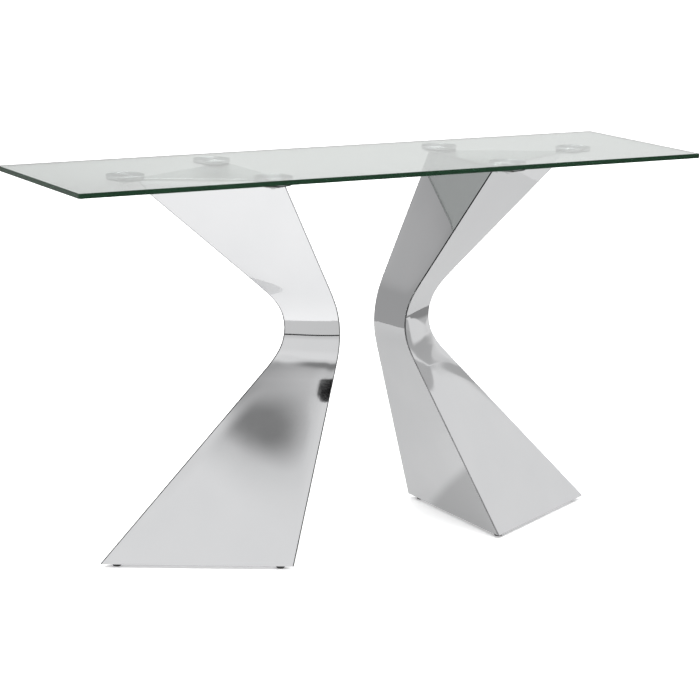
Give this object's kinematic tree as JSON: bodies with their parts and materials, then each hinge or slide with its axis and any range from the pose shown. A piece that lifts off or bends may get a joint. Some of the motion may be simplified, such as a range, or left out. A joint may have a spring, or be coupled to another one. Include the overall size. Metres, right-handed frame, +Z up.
{
  "type": "console table",
  "caption": "Console table with a clear glass top on two waisted, three-sided legs of mirror-polished sheet steel, standing on small levelling glides.",
  "frame": {"origin": "on the floor, below the middle of the glass top", "axes": "+X along the table's length, +Y to the back, +Z up"},
  "size_m": [1.4, 0.4, 0.78],
  "materials": {
    "clear_glass": "clear tempered glass, polished edges that read dark green",
    "polished_steel": "mirror-polished stainless steel sheet",
    "turned_steel": "fine turned face with a polished rim",
    "plain_steel": "plain zinc-plated or mill finish, out of sight",
    "black_rubber": "matte black rubber",
    "black_plastic": "moulded black nylon"
  },
  "bodies": {
    "table": {"glass_top": "clear_glass", "left_leg_front_panel": "polished_steel", "left_leg_back_panel": "polished_steel", "left_leg_inner_panel": "polished_steel", "left_leg_top_plate": "polished_steel", "left_leg_bottom_plate": "plain_steel", "left_leg_front_glass_disc": "turned_steel", "left_leg_front_gasket": "black_rubber", "left_leg_front_mount_screw": "plain_steel", "left_leg_front_weld_nut": "plain_steel", "left_leg_back_glass_disc": "turned_steel", "left_leg_back_gasket": "black_rubber", "left_leg_back_mount_screw": "plain_steel", "left_leg_back_weld_nut": "plain_steel", "left_leg_outer_glass_disc": "turned_steel", "left_leg_outer_gasket": "black_rubber", "left_leg_outer_mount_screw": "plain_steel", "left_leg_outer_weld_nut": "plain_steel", "right_leg_front_panel": "polished_steel", "right_leg_back_panel": "polished_steel", "right_leg_inner_panel": "polished_steel", "right_leg_top_plate": "polished_steel", "right_leg_bottom_plate": "plain_steel", "right_leg_front_glass_disc": "turned_steel", "right_leg_front_gasket": "black_rubber", "right_leg_front_mount_screw": "plain_steel", "right_leg_front_weld_nut": "plain_steel", "right_leg_back_glass_disc": "turned_steel", "right_leg_back_gasket": "black_rubber", "right_leg_back_mount_screw": "plain_steel", "right_leg_back_weld_nut": "plain_steel", "right_leg_outer_glass_disc": "turned_steel", "right_leg_outer_gasket": "black_rubber", "right_leg_outer_mount_screw": "plain_steel", "right_leg_outer_weld_nut": "plain_steel"},
    "left_front_glide": {"left_leg_front_glide_pad": "black_plastic", "left_leg_front_glide_stud": "plain_steel"},
    "left_back_glide": {"left_leg_back_glide_pad": "black_plastic", "left_leg_back_glide_stud": "plain_steel"},
    "left_outer_glide": {"left_leg_outer_glide_pad": "black_plastic", "left_leg_outer_glide_stud": "plain_steel"},
    "right_front_glide": {"right_leg_front_glide_pad": "black_plastic", "right_leg_front_glide_stud": "plain_steel"},
    "right_back_glide": {"right_leg_back_glide_pad": "black_plastic", "right_leg_back_glide_stud": "plain_steel"},
    "right_outer_glide": {"right_leg_outer_glide_pad": "black_plastic", "right_leg_outer_glide_stud": "plain_steel"}
  },
  "joints": [
    {"name": "left_front_glide_height", "type": "slide", "parent": "table", "child": "left_front_glide", "axis": [0, 0, -1], "range_m": [0, 0.008]},
    {"name": "left_back_glide_height", "type": "slide", "parent": "table", "child": "left_back_glide", "axis": [0, 0, -1], "range_m": [0, 0.008]},
    {"name": "left_outer_glide_height", "type": "slide", "parent": "table", "child": "left_outer_glide", "axis": [0, 0, -1], "range_m": [0, 0.008]},
    {"name": "right_front_glide_height", "type": "slide", "parent": "table", "child": "right_front_glide", "axis": [0, 0, -1], "range_m": [0, 0.008]},
    {"name": "right_back_glide_height", "type": "slide", "parent": "table", "child": "right_back_glide", "axis": [0, 0, -1], "range_m": [0, 0.008]},
    {"name": "right_outer_glide_height", "type": "slide", "parent": "table", "child": "right_outer_glide", "axis": [0, 0, -1], "range_m": [0, 0.008]}
  ]
}
